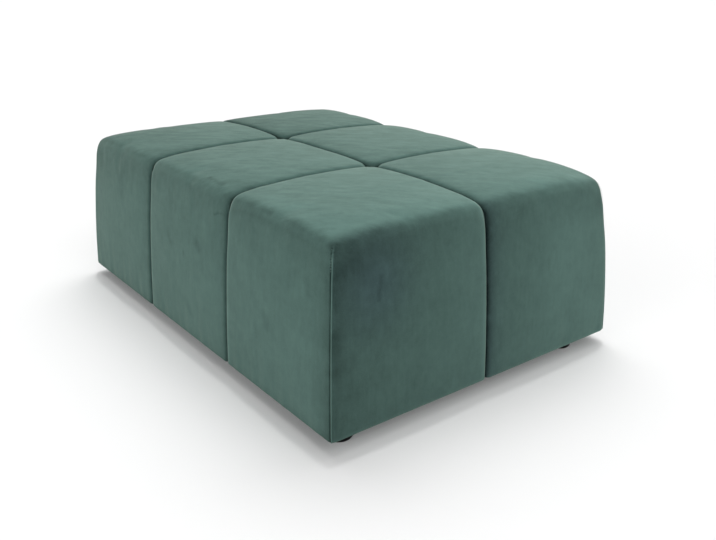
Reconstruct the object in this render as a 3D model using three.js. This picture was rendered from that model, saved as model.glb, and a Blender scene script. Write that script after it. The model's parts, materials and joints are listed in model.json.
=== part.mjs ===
// Upholstered footstool: six velvet-covered foam cushions in two rows of three, on four low round feet.
// Millimetres, +Z up. The origin lies on the floor under the middle, and X runs along the rows of three.
import * as THREE from "three";

// Driving sizes
const COLUMNS = ["left", "middle", "right"];
const ROWS = ["front", "back"];
const CUSHION_LENGTH = 351; // along X, from seam to seam
const CUSHION_DEPTH = 356; // along Y, from seam to seam
const CUSHION_BOTTOM = 25; // height of the cushions' undersides above the floor
const SEAM_TOP = 375.7; // highest point of the seams between cushions
const CROWN = 7; // rise of each cushion's middle above its seams
const CROWN_POWER = 3;
const SIDE_BULGE = 6; // how far an outer face stands out at its middle
const EDGE_EASE = 0.46; // share of the edge's fall that is missing at the middle of a cushion
const SEAM_GAP = 0.4; // between neighbouring cushions
const SEAM_ROUND = 9; // radius of the edges that turn into a seam
const UNDER_ROUND = 4; // radius of the edges at the underside
const PLAN_ROUND = { outer: 14, mixed: 9, inner: 28 }; // upright corners, seen from above
const COVER_INSET = 22; // from the cushions' outer faces to the underside cover
const COVER_THICKNESS = 1.5;
const SEAT_GAP = 0.3; // between pieces that rest on each other
const FOOT_RADIUS = 26.5;
const FOOT_INSET_X = 51.5; // from the end faces to a foot's centre
const FOOT_INSET_FRONT = 50.5; // from the front face to a front foot's centre
const FOOT_INSET_BACK = 91; // from the back face to a back foot's centre

// The section of an outer face where a seam crosses it, from its upright wall over the top edge to the crown.
const SIDE_SECTION = [
  { inset: 0, height: 25 },
  { inset: 0.1, height: 80 },
  { inset: 1.4, height: 140 },
  { inset: 3.5, height: 200 },
  { inset: 6.4, height: 250 },
  { inset: 10.5, height: 300 },
  { inset: 14, height: 330 },
  { inset: 19, height: 345 },
  { inset: 25, height: 355 },
  { inset: 32, height: 360.4 },
  { inset: 45, height: 364 },
  { inset: 70, height: 368.2 },
  { inset: 110, height: 371.2 },
  { inset: 160, height: 373.8 },
  { inset: 230, height: SEAM_TOP },
];
const TOP_START = { inset: 14, height: 330 }; // where the wall ends and the top begins
const TOP_CORNER = { reach: 45, power: 8 }; // how square the top's contour lines stay at an outer corner

// Grid lines, as distances from a cushion's side
const OUTER_LINES = [14, 16, 19, 25, 32, 45, 70, 110];
const SEAM_LINES = [0, 0.9, 3.2, 9, 20, 45, 80, 120];
const WALL_LEVELS = [0.88, 0.72, 0.54, 0.36, 0.2, 0.08, 0.013, 0]; // shares of the wall's height

const VELVET = new THREE.MeshStandardMaterial({ color: 0x5f7f75, roughness: 0.85, metalness: 0 });
const COVER_CLOTH = new THREE.MeshStandardMaterial({ color: 0x1c1d1d, roughness: 0.95, metalness: 0 });
const FOOT_PLASTIC = new THREE.MeshStandardMaterial({ color: 0x141515, roughness: 0.5, metalness: 0 });

// Straight-line reading of SIDE_SECTION from one column to the other.
function readSection(value, from, to) {
  const next = SIDE_SECTION.findIndex((row) => row[from] >= value);
  if (next === 0) return SIDE_SECTION[0][to];
  if (next < 0) return SIDE_SECTION[SIDE_SECTION.length - 1][to];
  const [a, b] = [SIDE_SECTION[next - 1], SIDE_SECTION[next]];
  return a[to] + ((b[to] - a[to]) * (value - a[from])) / (b[from] - a[from]);
}

// The fall of a quarter-round edge at a distance from the side.
function roundFall(distance, radius) {
  if (distance >= radius) return 0;
  return radius - Math.sqrt(radius ** 2 - (radius - distance) ** 2);
}

// One cushion's half sizes, and which of its sides are outer faces.
function cushionSides(column, row) {
  return {
    x: { half: CUSHION_LENGTH / 2, low: column === 0, high: column === COLUMNS.length - 1 },
    y: { half: CUSHION_DEPTH / 2, low: row === 0, high: row === ROWS.length - 1 },
  };
}

// Distance from the nearer side of one axis, and whether that side is an outer face.
function nearSide(side, value) {
  const outer = value < 0 ? side.low : side.high;
  const distance = side.half - (outer ? 0 : SEAM_GAP / 2) - Math.abs(value);
  return { distance: Math.max(distance, 0), outer };
}

// Height of the top over a point of a cushion, in the cushion's own plan coordinates.
function topHeight(sides, x, y) {
  const near = [nearSide(sides.x, x), nearSide(sides.y, y)];
  const across = [x / sides.x.half, y / sides.y.half].map((v) => 1 - Math.abs(v) ** CROWN_POWER);
  const outer = near.map((side) => (side.outer ? side.distance : Infinity));
  const { reach, power } = TOP_CORNER;
  let inset = Math.min(...outer);
  if (Math.max(...outer) < reach) {
    inset = reach - outer.reduce((sum, d) => sum + (reach - d) ** power, 0) ** (1 / power);
  }
  const along = outer[0] < outer[1] ? across[1] : across[0];
  const edgeFall = SEAM_TOP - readSection(inset, "inset", "height");
  let height = SEAM_TOP + CROWN * across[0] * across[1] - edgeFall * (1 - EDGE_EASE * along);
  for (const side of near) {
    if (!side.outer) height -= roundFall(side.distance, SEAM_ROUND);
  }
  return height;
}

// Moves a point of the top's plan out to where the wall stands at a share of its height, then bulges the
// face and rounds the upright corner.
function planPoint(sides, x, y, share) {
  const wallHeight = CUSHION_BOTTOM + share * (TOP_START.height - CUSHION_BOTTOM);
  const wallInset = readSection(wallHeight, "height", "inset");
  const underInset = roundFall(wallHeight - CUSHION_BOTTOM, UNDER_ROUND);
  const swell = SIDE_BULGE * Math.sin(Math.PI * share ** 0.8 * 0.92);
  const plan = ["x", "y"].map((axis, index) => {
    const value = index ? y : x;
    const other = index ? x / sides.x.half : y / sides.y.half;
    const near = nearSide(sides[axis], value);
    const start = near.outer ? TOP_START.inset : 0;
    const fade = Math.max(0, 1 - (near.distance - start) / 46);
    const bulge = near.outer ? swell * (1 - Math.abs(other) ** CROWN_POWER) * fade : 0;
    const outward = (near.outer ? start - wallInset : 0) * fade - underInset * fade + bulge;
    const limit = sides[axis].half - (near.outer ? wallInset : SEAM_GAP / 2) - underInset + bulge;
    return { outer: near.outer, sign: Math.sign(value), size: Math.abs(value) + outward, limit };
  });
  const outerCount = plan.filter((p) => p.outer).length;
  const radius = [PLAN_ROUND.inner, PLAN_ROUND.mixed, PLAN_ROUND.outer][outerCount];
  const [a, b] = plan.map((p) => (p.size - (p.limit - radius)) / radius);
  if (a > 0 && b > 0) {
    const pull = Math.max(a, b) / Math.hypot(a, b);
    plan[0].size = plan[0].limit - radius + radius * a * pull;
    plan[1].size = plan[1].limit - radius + radius * b * pull;
  }
  return plan.map((p) => p.sign * p.size);
}

// Grid lines of one axis, low side to high side, with the middle.
function gridLines(side) {
  const low = (side.low ? OUTER_LINES : SEAM_LINES.map((d) => d + SEAM_GAP / 2)).map((d) => d - side.half);
  const high = (side.high ? OUTER_LINES : SEAM_LINES.map((d) => d + SEAM_GAP / 2)).map((d) => side.half - d);
  return [...low, 0, ...high.reverse()];
}

function cushionGeometry(column, row) {
  const sides = cushionSides(column, row);
  const xs = gridLines(sides.x);
  const ys = gridLines(sides.y);
  const points = [];
  const faces = [];
  const quad = (a, b, c, d) => faces.push(a, b, c, a, c, d);
  for (const y of ys) {
    for (const x of xs) points.push([...planPoint(sides, x, y, 1), topHeight(sides, x, y)]);
  }
  const at = (i, j) => j * xs.length + i;
  for (let j = 0; j + 1 < ys.length; j++) {
    for (let i = 0; i + 1 < xs.length; i++) quad(at(i, j), at(i + 1, j), at(i + 1, j + 1), at(i, j + 1));
  }
  // The walls hang from the top's rim, walked counter-clockwise from above.
  const [lastX, lastY] = [xs.length - 1, ys.length - 1];
  const rim = [];
  for (let i = 0; i < lastX; i++) rim.push([i, 0]);
  for (let j = 0; j < lastY; j++) rim.push([lastX, j]);
  for (let i = lastX; i > 0; i--) rim.push([i, lastY]);
  for (let j = lastY; j > 0; j--) rim.push([0, j]);
  let above = rim.map(([i, j]) => at(i, j));
  for (const level of WALL_LEVELS) {
    const below = rim.map(([i, j]) => {
      const rimHeight = points[at(i, j)][2];
      const height = CUSHION_BOTTOM + level * (rimHeight - CUSHION_BOTTOM);
      return points.push([...planPoint(sides, xs[i], ys[j], level), height]) - 1;
    });
    below.forEach((corner, k) => {
      const next = (k + 1) % rim.length;
      quad(above[k], corner, below[next], above[next]);
    });
    above = below;
  }
  const middle = points.push([0, 0, CUSHION_BOTTOM]) - 1;
  above.forEach((corner, k) => faces.push(middle, above[(k + 1) % rim.length], corner));
  const geometry = new THREE.BufferGeometry();
  geometry.setAttribute("position", new THREE.Float32BufferAttribute(points.flat(), 3));
  geometry.setIndex(faces);
  geometry.computeVertexNormals();
  return geometry;
}

function cushion(column, row) {
  const mesh = new THREE.Mesh(cushionGeometry(column, row), VELVET);
  mesh.name = `cushion_${ROWS[row]}_${COLUMNS[column]}`;
  mesh.position.x = (column - (COLUMNS.length - 1) / 2) * CUSHION_LENGTH;
  mesh.position.y = (row - (ROWS.length - 1) / 2) * CUSHION_DEPTH;
  return mesh;
}

// The flat cloth that closes the underside.
function undersideCover() {
  const length = COLUMNS.length * CUSHION_LENGTH - 2 * COVER_INSET;
  const depth = ROWS.length * CUSHION_DEPTH - 2 * COVER_INSET;
  const mesh = new THREE.Mesh(new THREE.BoxGeometry(length, depth, COVER_THICKNESS), COVER_CLOTH);
  mesh.name = "underside_cover";
  mesh.position.z = CUSHION_BOTTOM - SEAT_GAP - COVER_THICKNESS / 2;
  return mesh;
}

// A turned plastic foot: a flat sole with a rounded rim, and a slightly narrower top against the cover.
function foot(name, x, y) {
  const height = CUSHION_BOTTOM - COVER_THICKNESS - 2 * SEAT_GAP;
  const section = [
    [0, 0],
    [FOOT_RADIUS - 2, 0],
    [FOOT_RADIUS - 0.6, 0.6],
    [FOOT_RADIUS, 2],
    [FOOT_RADIUS - 1.5, height - 1],
    [FOOT_RADIUS - 2.5, height],
    [0, height],
  ].map(([radius, z]) => new THREE.Vector2(radius, z));
  const mesh = new THREE.Mesh(new THREE.LatheGeometry(section, 36).rotateX(Math.PI / 2), FOOT_PLASTIC);
  mesh.name = name;
  mesh.position.set(x, y, 0);
  return mesh;
}

const footstool = new THREE.Group();
ROWS.forEach((_, row) => COLUMNS.forEach((_, column) => footstool.add(cushion(column, row))));
footstool.add(undersideCover());
const footX = (COLUMNS.length * CUSHION_LENGTH) / 2 - FOOT_INSET_X;
const halfDepth = (ROWS.length * CUSHION_DEPTH) / 2;
for (const [end, sign] of [["left", -1], ["right", 1]]) {
  footstool.add(foot(`foot_front_${end}`, sign * footX, FOOT_INSET_FRONT - halfDepth));
  footstool.add(foot(`foot_back_${end}`, sign * footX, halfDepth - FOOT_INSET_BACK));
}

export default footstool;
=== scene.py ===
"""Looks of the upholstered footstool: six velvet cushions, an underside cloth and four feet."""
import json
import math

import bmesh
import bpy
import numpy as np
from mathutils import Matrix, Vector

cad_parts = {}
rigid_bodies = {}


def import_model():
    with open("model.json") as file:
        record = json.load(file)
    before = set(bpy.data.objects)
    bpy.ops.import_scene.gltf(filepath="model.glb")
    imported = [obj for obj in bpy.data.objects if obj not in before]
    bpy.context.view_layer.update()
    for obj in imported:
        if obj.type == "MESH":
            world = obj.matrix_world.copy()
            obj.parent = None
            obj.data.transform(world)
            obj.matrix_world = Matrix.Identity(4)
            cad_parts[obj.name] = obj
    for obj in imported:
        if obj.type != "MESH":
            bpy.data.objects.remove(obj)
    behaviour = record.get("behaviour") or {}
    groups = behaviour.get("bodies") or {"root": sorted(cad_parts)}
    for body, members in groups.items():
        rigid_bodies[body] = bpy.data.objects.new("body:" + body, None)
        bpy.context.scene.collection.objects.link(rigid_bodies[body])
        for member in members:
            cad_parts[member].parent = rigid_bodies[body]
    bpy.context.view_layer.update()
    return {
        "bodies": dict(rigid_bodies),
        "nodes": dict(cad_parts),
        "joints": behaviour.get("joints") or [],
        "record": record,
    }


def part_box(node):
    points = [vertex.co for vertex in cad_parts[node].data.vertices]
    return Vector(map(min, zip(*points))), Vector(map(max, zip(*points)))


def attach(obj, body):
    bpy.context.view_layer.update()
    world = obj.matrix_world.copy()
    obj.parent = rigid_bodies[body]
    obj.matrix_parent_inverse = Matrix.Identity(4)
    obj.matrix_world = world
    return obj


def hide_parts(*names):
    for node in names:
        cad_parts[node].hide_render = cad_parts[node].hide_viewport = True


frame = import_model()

# Driving sizes, in metres
COLUMNS = ("left", "middle", "right")
ROWS = ("front", "back")
COVER_INSET = 0.022  # from the cushions' outer faces to the underside cloth
COVER_LOW, COVER_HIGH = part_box("underside_cover")
CUSHION_LENGTH = 2 * (COVER_HIGH.x + COVER_INSET) / len(COLUMNS)  # along X, from seam to seam
CUSHION_DEPTH = COVER_HIGH.y + COVER_INSET  # along Y, from seam to seam
CUSHION_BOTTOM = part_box("cushion_front_middle")[0].z
SEAM_TOP = 0.3745  # highest point of the seams between cushions
CROWN = 0.0012  # rise of each cushion's middle above its seams, before it is filled
CROWN_POWER = 4  # how squarely the crown spreads out to the seams
SIDE_BULGE = 0.0005  # how far an outer face stands out at its middle, before it is filled
BULGE_WAVE = (0.8, 0.92)  # power of the height, and share of a half wave, that the bulge follows up the face
# Share of the edge's fall that is missing at the middle of a cushion, at each outer face
EDGE_EASE = {"left": 0.25, "right": 0.4, "front": 0.4, "back": 0.62}
# How far the top sinks at a corner, and how far the hollow reaches
INNER_CORNER = (0.0055, 0.120)
OUTER_CORNERS = {
    ("left", "front"): (0.009, 0.150),
    ("right", "front"): (0.013, 0.150),
    ("left", "back"): (0.014, 0.150),
    ("right", "back"): (0.016, 0.180),
}
SEAM_GAP = 0.0004
SEAM_ROUND = 0.0125  # radius of the edges that turn into a seam
UNDER_ROUND = 0.0035  # radius of the edges at the underside
PLAN_ROUND = (0.028, 0.009, 0.0155)  # upright corners, by how many of their two faces are outer ones
CROSSING_CLOSED = (0.003, 0.25)  # radius where four cushions meet, below this share of their walls
SEAM_BOW = (0.0010, 0.050)  # how far one full cushion pushes into the next, and how far in that reaches
NEAR_ROUND = 0.0085  # the front right corner is sewn sharper than the others
MITRE_EASE = 0.040  # width over which the top's two slopes blend into each other at a corner

# The section of an outer face where a seam crosses it: inset from the face, height above the floor
SIDE_SECTION = (
    (0.0, 0.025),
    (0.0001, 0.080),
    (0.0014, 0.140),
    (0.0035, 0.200),
    (0.0064, 0.250),
    (0.0105, 0.300),
    (0.0140, 0.330),
    (0.0190, 0.345),
    (0.0250, 0.355),
    (0.0320, 0.3604),
    (0.0450, 0.3640),
    (0.0700, 0.3679),
    (0.1100, 0.3708),
    (0.1500, 0.3730),
    (0.2000, 0.3741),
    (0.2600, SEAM_TOP),
    (0.3400, SEAM_TOP),
)
TOP_START = (0.014, 0.330)  # inset and height at which the wall ends and the top begins
TOP_CORNER = (0.045, 8)  # reach and squareness of the top's contour lines at an outer corner
SLIDE_REACH = 0.046  # how far along a face the points slide when its corner moves
FAR = 1.0  # stands for the distance of a face or a seam that isn't there

# Grid lines, as distances from a cushion's side: close together where the surface turns
OUTER_LINES = (
    TOP_START[0], 0.015, 0.016, 0.0172, 0.0186, 0.0204, 0.0226, 0.0254, 0.029, 0.0335, 0.039, SLIDE_REACH,
)
SEAM_LINES = (0.0, 0.0006, 0.0016, 0.003, 0.0048, 0.007, 0.010, 0.0145, 0.0205, 0.028, 0.037, SLIDE_REACH)
MIDDLE_STEP = 0.009
WALL_STEP = 0.008
UNDER_START = 0.018  # share of the wall's height below which its rows follow the edge at the underside
UNDER_SHARES = (0.0105, 0.0075, 0.0045, 0.0018, 0.0)

# The filling, which blows the sewn cover up a little between its seams
FILL_PRESSURE = 4.0
FILL_FRAMES = 20
FILL_MOST = 0.0030  # how far the cover may move
FILL_EVERY = 3  # the trial cover has every third grid line
COVER_CLOTH = {
    "quality": 5,
    "mass": 0.3,
    "tension_stiffness": 40,
    "compression_stiffness": 40,
    "shear_stiffness": 20,
    "bending_stiffness": 8,
}
HELD_UNDER = 0.0025  # height above the underside up to which the cover is held
HELD_SEAM = 0.0035  # distance from a seam up to which it is held
HELD_CORNER = (0.012, 0.0012)  # reach and half width of the strip held at an upright corner seam

# The waves of an uneven ripple, as share, length, and how much each is shifted by the ripple's start
RIPPLES = ((0.40, 0.0052, 1.0), (0.33, 0.0083, 2.1), (0.27, 0.0131, 3.7))

# The cover's faint upright pulls
LOW_PULL = (0.0011, 0.006, 0.045)  # depth, height above the bottom, and reach
HIGH_PULL = (0.0006, 0.322, 0.026)  # depth, height above the floor, and reach
PULL_START = 0.004  # height above the bottom over which they come in
PULL_ENDS = 0.03  # width over which they fade towards the ends of a face
PULL_INWARDS = (0.030, 0.012)  # distance from the face at which they end, and width of their fade

# The upright seam at each outer corner
SEAM_END = 0.350  # height at which it starts, just under the top edge
SEAM_RIDGE = (0.0016, 0.0022)  # half width and height of the ridge
SEAM_GROOVE = (0.0025, 0.0013, 0.0012)  # place beside the ridge, half width and depth of the grooves
FAR_GROOVE = 0.7  # the groove on the ridge's other side is shallower
SEAM_WANDER = 0.0004
SEAM_FADE = (0.008, 0.006)  # lengths over which the ridge, and its shade, fade out at the top
SEAM_FOOT = (0.001, 0.003)  # how the ridge comes in at the bottom: its start under it, and its length
SEAM_ZONE = 0.05  # distance from an upright corner up to which its seam counts

# Colours of the velvet's dye, as albedos
VELVET_GREEN = (0.084, 0.149, 0.132)
VELVET_COOL = (0.076, 0.130, 0.136)
VELVET_SHEEN = (0.31, 0.345, 0.30)

# Painted light and shade, with some of the brushed pile's own tone, which make the velvet lighter or darker
# by a share of its colour.
# Beside the seams between cushions, painted sheen and painted shadow:
RIM_LIGHT = (0.26, 0.007, 0.006)  # the painted highlight on one side: share, distance from the seam, half width
RIM_LINE = (0.60, 0.0028)  # the painted shadow in the seam on that side: share and width
RIM_DARK = ((0.24, 0.016), (0.40, 0.0045))  # the painted shade on the other side: shares and how far they reach
# Painted light on the tops, at the middle, for each metre to the right, and from the front to the back of a
# cushion:
TOP_SHADE = (-0.11, 0.24, 0.25)
TOP_END = -0.035  # where the top's own shade begins to give way to the edge's
CUSHION_TONES = ((0.0, 0.0, 0.01), (0.0, 0.06, 0.06))  # of the front row, and of the back row
# Painted shade over the top edges:
EDGE_HEIGHT = 0.345  # of the edge, where the shades on the top and on the faces meet
EDGE_DARK = {"left": 0.12, "right": 0.08, "front": 0.20, "back": 0.12}
EDGE_BAND = (0.006, 0.014, 0.075)  # how far above the edge it is darkest, and its reach inwards and downwards
NEAREST_EDGE = (0.10, 0.025)  # more dark on the nearest cushion's front edge, and where it ends
WALL_START = (-0.012, 0.006)  # distances past the edge between which the face's shade takes over
# Painted light and shade on the right-hand face, which is dark at its near end:
RIGHT_START = (-0.040, 0.012, 0.002)  # its start past the edge, how much later at the far end, and its end
RIGHT_DOWN = (0.03, 0.28)  # how far past the edge the face begins to change downwards, and for how long
NEAR_DARK = (0.53, 0.9)  # the near cushion's share, and how evenly it fades towards the far end
NEAR_LIFT = (0.30, 0.05, 0.5)  # how it lifts downwards: share, reach, and share for each metre
FAR_DARK = (0.34, 0.25, 1.8)  # the far cushion's share, its reach, and its lift for each metre down
FAR_LIGHT = (0.10, 0.3, 0.6, 0.05)  # the light beyond: share, where it begins and is full, and how far down
COOL_SPOT = (0.75, (-0.085, 0.070), (0.280, 0.075))  # share, then place and reach along the face and upwards
COOL_START = (0.6, 0.06)  # share and reach at the far cushion's near end
# Painted shade at the bottom edges of the front and back faces, and a painted highlight at those of the left
# and right, as share and the heights between which it comes in:
FRONT_RIM = (-0.10, 0.045, 0.028)
RIGHT_RIM = (0.28, 0.031, 0.026)
# Painted shade beside the upright corner seams, a painted highlight on their ridges and painted shadow in
# their grooves:
CORNER_DARK = {"left": 0.15, "right": 0.55}
CORNER_REACH = 0.022
NEAREST_CORNER = (0.17, 0.020)  # share and reach on the right-hand face of the nearest cushion
CORNER_START = 0.02  # distance past the top edge over which it comes in
RIDGE_LIGHT, GROOVE_DARK = 0.60, 0.60
SHADE_LIMITS = (-0.85, 1.0)

# Places where the pile was rubbed, and the painted shade of small creases: from, to, half width, and share of
# light or dark
PILE_AND_CREASE_MARKS = (
    ((0.062, -0.318, 0.365), (0.118, -0.318, 0.362), 0.0120, -0.26),
    ((0.131, -0.346, 0.316), (0.158, -0.346, 0.323), 0.0050, -0.20),
    ((0.521, -0.250, 0.286), (0.524, -0.256, 0.250), 0.0085, -0.14),
    ((0.528, -0.343, 0.205), (0.529, -0.343, 0.145), 0.0240, -0.13),
    ((0.010, -0.357, 0.098), (0.028, -0.357, 0.080), 0.0180, -0.10),
    ((-0.071, -0.352, 0.228), (-0.060, -0.352, 0.210), 0.0140, -0.12),
    ((0.452, -0.353, 0.285), (0.458, -0.353, 0.262), 0.0130, -0.10),
    ((0.322, -0.357, 0.180), (0.332, -0.357, 0.158), 0.0150, -0.10),
    ((0.060, -0.352, 0.240), (0.072, -0.352, 0.230), 0.0170, -0.16),
    ((0.004, -0.352, 0.203), (0.004, -0.352, 0.198), 0.0100, -0.20),
    ((0.245, 0.155, 0.377), (0.330, 0.211, 0.374), 0.0080, 0.10),
)

# Camera, fitted to the photograph
CAMERA_PLACE = (1.499, -1.041, 0.781)
CAMERA_DOWN = 12.85  # degrees below the horizon
CAMERA_TURN = 52.76  # degrees from +Y towards -X
CAMERA_LENS = 41.405
CAMERA_SHIFT = -118 / 716


def rounded_fall(distance, radius):
    """The fall of a quarter-round edge at a distance from the side."""
    inside = np.clip(radius - distance, 0, radius)
    return radius - np.sqrt(radius**2 - inside**2)


def spline(knots, places):
    """The matrix that takes values at the knots to those of the natural cubic spline at other places."""
    knots, places = np.asarray(knots, float), np.asarray(places, float)
    count, step, same = len(knots), np.diff(knots), np.eye(len(knots))
    system, right = np.eye(count), np.zeros((count, count))
    for i in range(1, count - 1):
        system[i, i - 1 : i + 2] = step[i - 1], 2 * (step[i - 1] + step[i]), step[i]
        right[i] = 6 * ((same[i + 1] - same[i]) / step[i] - (same[i] - same[i - 1]) / step[i - 1])
    bend = np.linalg.solve(system, right)
    low = np.clip(np.searchsorted(knots, places) - 1, 0, count - 2)
    gap, past = step[low][:, None], (places - knots[low])[:, None]
    left = gap - past
    return (
        (bend[low] * left**3 + bend[low + 1] * past**3) / (6 * gap)
        + (same[low] / gap - bend[low] * gap / 6) * left
        + (same[low + 1] / gap - bend[low + 1] * gap / 6) * past
    )


def smooth_curve(points):
    """Many points on the natural cubic spline through the given ones."""
    knots = np.array(points)
    along = np.concatenate([[0], np.cumsum(np.linalg.norm(np.diff(knots, axis=0), axis=1))])
    return spline(along, np.linspace(0, along[-1], 500)) @ knots


SECTION = smooth_curve(SIDE_SECTION)


def height_at(inset):
    return np.interp(inset, SECTION[:, 0], SECTION[:, 1])


def inset_at(height):
    return np.interp(height, SECTION[:, 1], SECTION[:, 0])


class Side:
    """One axis of a cushion: its half size, and the names of its ends that are outer faces."""

    def __init__(self, half, low, high):
        self.half, self.low, self.high, self.names = half, bool(low), bool(high), (low, high)

    def outer(self, value):
        """Whether the nearer end is an outer face."""
        return np.where(value < 0, self.low, self.high)

    def at_end(self, value, table):
        """What the table says for the outer face at the nearer end, and 0 at a seam."""
        return np.where(value < 0, *(table.get(name, 0) for name in self.names))

    def near(self, value):
        """Distance from the nearer end, and whether that end is an outer face."""
        outer = self.outer(value)
        distance = self.half - np.where(outer, 0, SEAM_GAP / 2) - np.abs(value)
        return np.maximum(distance, 0), outer

    def across(self, value):
        """1 at the middle of the cushion, and 0 at its ends."""
        return 1 - np.abs(value / self.half) ** CROWN_POWER

    def lines(self, every=1):
        """Grid lines from the low end to the high one, or only some of them for a trial."""
        ends = []
        for outer in (self.low, self.high):
            line = OUTER_LINES if outer else tuple(d + SEAM_GAP / 2 for d in SEAM_LINES)
            ends.append(line[:1] + line[::-every][::-1][1:])
        low, high = ends
        start, end = low[-1] - self.half, self.half - high[-1]
        middle = np.linspace(start, end, round((end - start) / (MIDDLE_STEP * (1 + every) / 2)) + 1)
        return np.concatenate([np.array(low[:-1]) - self.half, middle, self.half - np.array(high[:-1])[::-1]])


def cushion_sides(column, row):
    return (
        Side(CUSHION_LENGTH / 2, "left" * (column == 0), "right" * (column == len(COLUMNS) - 1)),
        Side(CUSHION_DEPTH / 2, "front" * (row == 0), "back" * (row == len(ROWS) - 1)),
    )


def is_nearest(sides):
    """Whether this is the front right cushion, the nearest one in the photograph."""
    return sides[0].high and sides[1].low


def at_outer_corner(sides, x, y):
    """Which points are in a quarter of the cushion that has an outer upright corner."""
    return sides[0].outer(x) & sides[1].outer(y)


def top_height(sides, x, y):
    """Height of the top over points of a cushion, in its own plan coordinates."""
    near = [side.near(value) for side, value in zip(sides, (x, y))]
    across = [side.across(value) for side, value in zip(sides, (x, y))]
    eases = [side.at_end(value, EDGE_EASE) for side, value in zip(sides, (x, y))]
    first, second = (np.where(outer, distance, FAR) for distance, outer in near)
    reach, power = TOP_CORNER
    inset = np.minimum(first, second)
    ease = MITRE_EASE * np.clip((inset - TOP_START[0]) / MITRE_EASE, 0, 1) + 1e-6
    overlap = np.clip(ease - np.abs(first - second), 0, None) / ease
    eased = inset - overlap**2 * ease / 4
    corner = sum(np.clip(reach - distance, 0, None) ** power for distance in (first, second)) ** (1 / power)
    inset = np.where(np.maximum(first, second) < reach, np.minimum(reach - corner, eased), eased)
    share = np.clip(0.5 + (second - first) / (2 * ease), 0, 1)
    along = eases[0] * across[1] * share + eases[1] * across[0] * (1 - share)
    edge_fall = SEAM_TOP - height_at(inset)
    height = SEAM_TOP + CROWN * across[0] * across[1] - edge_fall * (1 - along)
    for distance, outer in near:
        height = height - np.where(outer, 0, rounded_fall(distance, SEAM_ROUND))
    return height - corner_fall(sides, x, y)


def corner_fall(sides, x, y):
    """The hollows at the corners of a cushion's top."""
    fall = 0.0
    for x_name, x_end in zip(sides[0].names, (-sides[0].half, sides[0].half)):
        for y_name, y_end in zip(sides[1].names, (-sides[1].half, sides[1].half)):
            usual = (0.0, FAR) if x_name or y_name else INNER_CORNER
            drop, reach = OUTER_CORNERS.get((x_name, y_name), usual)
            fall = fall + drop * np.clip(1 - np.hypot(x - x_end, y - y_end) / reach, 0, 1) ** 2
    return fall


def plan_point(sides, x, y, share):
    """Where points of the top's plan stand on the walls, at a share of the walls' height."""
    wall_height = CUSHION_BOTTOM + share * (TOP_START[1] - CUSHION_BOTTOM)
    wall_inset = inset_at(wall_height)
    under_inset = rounded_fall(wall_height - CUSHION_BOTTOM, UNDER_ROUND)
    swell = SIDE_BULGE * np.sin(math.pi * share ** BULGE_WAVE[0] * BULGE_WAVE[1])
    sizes, limits, outers = [], [], []
    for side, other, value, beside in ((sides[0], sides[1], x, y), (sides[1], sides[0], y, x)):
        distance, outer = side.near(value)
        start = np.where(outer, TOP_START[0], 0)
        fade = np.clip(1 - (distance - start) / SLIDE_REACH, 0, 1)
        bulge = np.where(outer, swell * other.across(beside) * fade, 0)
        outward = np.where(outer, start - wall_inset, 0) * fade - under_inset * fade + bulge
        sizes.append(np.abs(value) + outward)
        limits.append(side.half - np.where(outer, wall_inset, SEAM_GAP / 2) - under_inset + bulge)
        outers.append(outer)
    radius = np.array(PLAN_ROUND)[outers[0].astype(int) + outers[1].astype(int)]
    closed, reach = CROSSING_CLOSED
    met = PLAN_ROUND[0] + (closed - PLAN_ROUND[0]) * rise(1 - share, 0, reach)
    radius = np.where(outers[0] | outers[1], radius, met)
    if is_nearest(sides):
        radius = np.where((x > 0) & (y < 0), NEAR_ROUND, radius)
    a, b = ((size - (limit - radius)) / radius for size, limit in zip(sizes, limits))
    turning = (a > 0) & (b > 0)
    pull = np.where(turning, np.maximum(a, b) / np.maximum(np.hypot(a, b), 1e-9), 1)
    rounded = [
        np.where(turning, limit - radius + radius * c * pull, size)
        for size, limit, c in zip(sizes, limits, (a, b))
    ]
    return np.sign(x) * rounded[0], np.sign(y) * rounded[1]


def bump(value):
    """A smooth rise from 0 at -1 to 1 at 0, and back to 0 at 1."""
    return np.clip(1 - value**2, 0, 1) ** 2


def ripple(along, start):
    """A gentle uneven wave between about -1 and 1."""
    return sum(share * np.sin(along / length + turn * start) for share, length, turn in RIPPLES)


def corner_seam(sides, points, start):
    """Moves the points at the outer upright corners out into a narrow ridge, and in beside it."""
    x, y, z = points.T
    beside = beside_corner(sides, points) + SEAM_WANDER * ripple(z / 2, start)
    under, length = SEAM_FOOT
    fade = np.clip((SEAM_END - z) / SEAM_FADE[0], 0, 1)
    fade = fade * np.clip((z - CUSHION_BOTTOM + under) / length, 0, 1)
    place, width, depth = SEAM_GROOVE
    ridge = SEAM_RIDGE[1] * bump(beside / SEAM_RIDGE[0])
    grooves = depth * (bump((beside - place) / width) + FAR_GROOVE * bump((beside + place) / width))
    move = (ridge - grooves) * fade / math.sqrt(2)
    return points + np.stack([np.sign(x) * move, np.sign(y) * move, 0 * z], 1)


def seam_bows(sides, points):
    """Bows the seams between cushions a little, towards +X and +Y."""
    most, reach = SEAM_BOW
    moved = points.copy()
    for axis in (0, 1):
        distance, outer = sides[axis].near(points[:, axis])
        fade = np.clip(1 - distance / reach, 0, 1) ** 2 * ~outer
        moved[:, axis] += most * np.clip(sides[1 - axis].across(points[:, 1 - axis]), 0, 1) * fade
    return moved


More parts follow.
